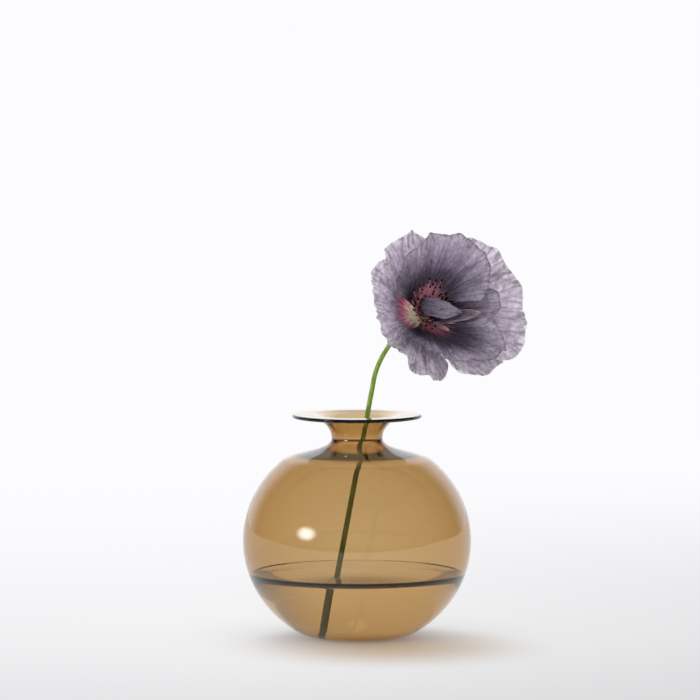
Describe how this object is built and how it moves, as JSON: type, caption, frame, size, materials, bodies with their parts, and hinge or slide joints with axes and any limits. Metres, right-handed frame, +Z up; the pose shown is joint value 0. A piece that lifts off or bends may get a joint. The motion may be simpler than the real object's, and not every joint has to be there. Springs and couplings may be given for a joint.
{
  "type": "glass bud vase",
  "caption": "Round amber blown-glass bud vase with a waisted neck and a wide flat rim, part filled with water and holding a cut semi-double poppy.",
  "frame": {"origin": "centre of the vase's flat foot, on the surface it stands on", "axes": "+Z up along the axis of the vase; -Y is the side that the flower faces, and +X is to the right seen from there"},
  "size_m": [0.146, 0.1168, 0.2083],
  "materials": {
    "amber_glass": "polished",
    "water": "polished",
    "stem": "satin",
    "receptacle": "satin",
    "pod": "matte",
    "stigma": "matte",
    "stamens": "matte",
    "outer_petal": "matte",
    "inner_petal": "matte",
    "petaloid": "matte"
  },
  "bodies": {
    "vase": {"glass_vase": "amber_glass"},
    "water": {"water": "water"},
    "flower": {"stem": "stem", "receptacle": "receptacle", "seed_pod": "pod", "stigma_cap": "stigma", "stamens_inner": "stamens", "stamens_outer": "stamens", "outer_petal_right": "outer_petal", "outer_petal_left": "outer_petal", "outer_petal_front": "outer_petal", "outer_petal_bottom": "outer_petal", "inner_petal_right": "inner_petal", "inner_petal_top": "inner_petal", "inner_petal_bottom": "inner_petal", "petaloid_hood": "petaloid", "petaloid_right": "petaloid", "petaloid_pale": "petaloid"}
  },
  "joints": [
    {"name": "stem_swing", "type": "hinge", "parent": "vase", "child": "water", "pos_m": [0, 0, 0], "axis": [0, 0, 1], "continuous": true},
    {"name": "flower_lift", "type": "slide", "parent": "water", "child": "flower", "axis": [0.184, 0.0756, 0.98], "range_m": [0, 0.125]}
  ]
}
